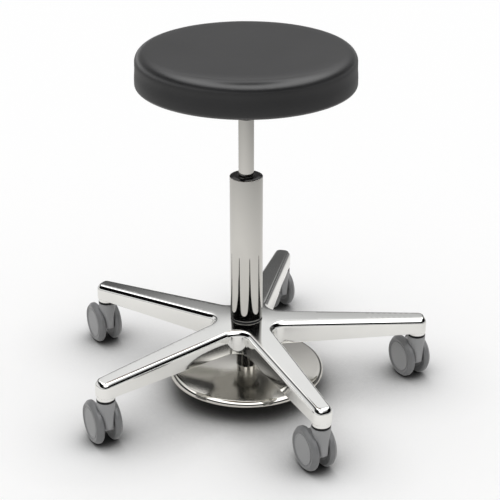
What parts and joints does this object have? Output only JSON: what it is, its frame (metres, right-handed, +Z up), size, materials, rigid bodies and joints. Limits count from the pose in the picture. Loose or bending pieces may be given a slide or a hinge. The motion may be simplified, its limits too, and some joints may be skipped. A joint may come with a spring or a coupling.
{
  "type": "adjustable swivel stool",
  "caption": "Round padded stool on a chromed gas column with a star base, casters and a foot disc that releases the height.",
  "frame": {"origin": "on the floor, straight below the column's axis", "axes": "+Z up along the column; +X along the first arm of the star base"},
  "size_m": [0.6177, 0.662, 0.6182],
  "materials": {
    "vinyl": "satin, faintly grained",
    "foam": "open cell foam",
    "plywood": "bare birch plywood",
    "black_steel": "satin black powder coat",
    "chrome": "bright plated",
    "polished_steel": "fine turned steel",
    "zinc_steel": "zinc plated",
    "polished_aluminium": "mirror polished",
    "black_plastic": "matt, moulded",
    "gloss_black_plastic": "glossy, moulded",
    "grey_plastic": "matt, moulded",
    "grey_tread": "soft grip tread"
  },
  "bodies": {
    "base": {"star_base": "polished_aluminium", "column_tube": "chrome", "column_ring": "black_plastic", "column_foot": "zinc_steel", "guide_bush": "gloss_black_plastic", "thrust_washer_lower": "polished_steel", "thrust_balls": "polished_steel", "caster_stems": "zinc_steel", "caster_collars": "black_plastic", "release_guide": "zinc_steel", "guide_nut": "zinc_steel", "rocker_pin": "polished_steel"},
    "spindle": {"piston_rod": "polished_steel", "piston": "black_plastic", "thrust_washer_upper": "polished_steel", "rod_clip": "zinc_steel"},
    "release_pin": {"valve_pin": "polished_steel"},
    "seat": {"gas_cylinder": "chrome", "cylinder_gland": "black_plastic", "seat_socket": "black_steel", "seat_plate": "black_steel", "seat_screws": "zinc_steel", "seat_tee_nuts": "zinc_steel", "seat_board": "plywood", "seat_foam": "foam", "seat_cover": "vinyl"},
    "foot_ring_disc": {"foot_disc": "chrome", "disc_sleeve": "chrome", "return_spring": "polished_steel"},
    "rocker": {"release_rocker": "zinc_steel"},
    "caster_1": {"caster_1_body": "grey_plastic", "caster_1_axle": "zinc_steel"},
    "caster_1_left": {"caster_1_wheel_left": "grey_plastic", "caster_1_tread_left": "grey_tread"},
    "caster_1_right": {"caster_1_wheel_right": "grey_plastic", "caster_1_tread_right": "grey_tread"},
    "caster_2": {"caster_2_body": "grey_plastic", "caster_2_axle": "zinc_steel"},
    "caster_2_left": {"caster_2_wheel_left": "grey_plastic", "caster_2_tread_left": "grey_tread"},
    "caster_2_right": {"caster_2_wheel_right": "grey_plastic", "caster_2_tread_right": "grey_tread"},
    "caster_3": {"caster_3_body": "grey_plastic", "caster_3_axle": "zinc_steel"},
    "caster_3_left": {"caster_3_wheel_left": "grey_plastic", "caster_3_tread_left": "grey_tread"},
    "caster_3_right": {"caster_3_wheel_right": "grey_plastic", "caster_3_tread_right": "grey_tread"},
    "caster_4": {"caster_4_body": "grey_plastic", "caster_4_axle": "zinc_steel"},
    "caster_4_left": {"caster_4_wheel_left": "grey_plastic", "caster_4_tread_left": "grey_tread"},
    "caster_4_right": {"caster_4_wheel_right": "grey_plastic", "caster_4_tread_right": "grey_tread"},
    "caster_5": {"caster_5_body": "grey_plastic", "caster_5_axle": "zinc_steel"},
    "caster_5_left": {"caster_5_wheel_left": "grey_plastic", "caster_5_tread_left": "grey_tread"},
    "caster_5_right": {"caster_5_wheel_right": "grey_plastic", "caster_5_tread_right": "grey_tread"}
  },
  "joints": [
    {"name": "seat_swivel", "type": "hinge", "parent": "base", "child": "spindle", "pos_m": [0, 0, 0.155], "axis": [0, 0, 1], "continuous": true},
    {"name": "seat_height", "type": "slide", "parent": "spindle", "child": "seat", "axis": [0, 0, 1], "range_m": [-0.095, 0.035]},
    {"name": "foot_press", "type": "slide", "parent": "base", "child": "foot_ring_disc", "axis": [0, 0, -1], "range_m": [0, 0.007], "stiffness_N_per_m": 510, "springref_m": -0.038, "deforming": ["return_spring"]},
    {"name": "rocker_tilt", "type": "hinge", "parent": "base", "child": "rocker", "pos_m": [0.0045, 0, 0.1002], "axis": [0, 1, 0], "range_deg": [0, 26]},
    {"name": "valve_lift", "type": "slide", "parent": "spindle", "child": "release_pin", "axis": [0, 0, 1], "range_m": [0, 0.0033]},
    {"name": "caster_1_swivel", "type": "hinge", "parent": "base", "child": "caster_1", "pos_m": [0.304, 0, 0.085], "axis": [0, 0, 1], "continuous": true},
    {"name": "caster_1_left_spin", "type": "hinge", "parent": "caster_1", "child": "caster_1_left", "pos_m": [0.29651, 0.01854, 0.0375], "axis": [0.9272, 0.3746, 0], "continuous": true},
    {"name": "caster_1_right_spin", "type": "hinge", "parent": "caster_1", "child": "caster_1_right", "pos_m": [0.29651, 0.01854, 0.0375], "axis": [0.9272, 0.3746, 0], "continuous": true},
    {"name": "caster_2_swivel", "type": "hinge", "parent": "base", "child": "caster_2", "pos_m": [0.09394, 0.28912, 0.085], "axis": [0, 0, 1], "continuous": true},
    {"name": "caster_2_left_spin", "type": "hinge", "parent": "caster_2", "child": "caster_2_left", "pos_m": [0.08645, 0.30767, 0.0375], "axis": [0.9272, 0.3746, 0], "continuous": true},
    {"name": "caster_2_right_spin", "type": "hinge", "parent": "caster_2", "child": "caster_2_right", "pos_m": [0.08645, 0.30767, 0.0375], "axis": [0.9272, 0.3746, 0], "continuous": true},
    {"name": "caster_3_swivel", "type": "hinge", "parent": "base", "child": "caster_3", "pos_m": [-0.24594, 0.17869, 0.085], "axis": [0, 0, 1], "continuous": true},
    {"name": "caster_3_left_spin", "type": "hinge", "parent": "caster_3", "child": "caster_3_left", "pos_m": [-0.25343, 0.19723, 0.0375], "axis": [0.9272, 0.3746, 0], "continuous": true},
    {"name": "caster_3_right_spin", "type": "hinge", "parent": "caster_3", "child": "caster_3_right", "pos_m": [-0.25343, 0.19723, 0.0375], "axis": [0.9272, 0.3746, 0], "continuous": true},
    {"name": "caster_4_swivel", "type": "hinge", "parent": "base", "child": "caster_4", "pos_m": [-0.24594, -0.17869, 0.085], "axis": [0, 0, 1], "continuous": true},
    {"name": "caster_4_left_spin", "type": "hinge", "parent": "caster_4", "child": "caster_4_left", "pos_m": [-0.25343, -0.16014, 0.0375], "axis": [0.9272, 0.3746, 0], "continuous": true},
    {"name": "caster_4_right_spin", "type": "hinge", "parent": "caster_4", "child": "caster_4_right", "pos_m": [-0.25343, -0.16014, 0.0375], "axis": [0.9272, 0.3746, 0], "continuous": true},
    {"name": "caster_5_swivel", "type": "hinge", "parent": "base", "child": "caster_5", "pos_m": [0.09394, -0.28912, 0.085], "axis": [0, 0, 1], "continuous": true},
    {"name": "caster_5_left_spin", "type": "hinge", "parent": "caster_5", "child": "caster_5_left", "pos_m": [0.08645, -0.27058, 0.0375], "axis": [0.9272, 0.3746, 0], "continuous": true},
    {"name": "caster_5_right_spin", "type": "hinge", "parent": "caster_5", "child": "caster_5_right", "pos_m": [0.08645, -0.27058, 0.0375], "axis": [0.9272, 0.3746, 0], "continuous": true}
  ],
  "couplings": [
    {"joint": "rocker_tilt", "follows": "foot_press", "rad_per_m": 64.5},
    {"joint": "valve_lift", "follows": "foot_press", "ratio": 0.457}
  ]
}
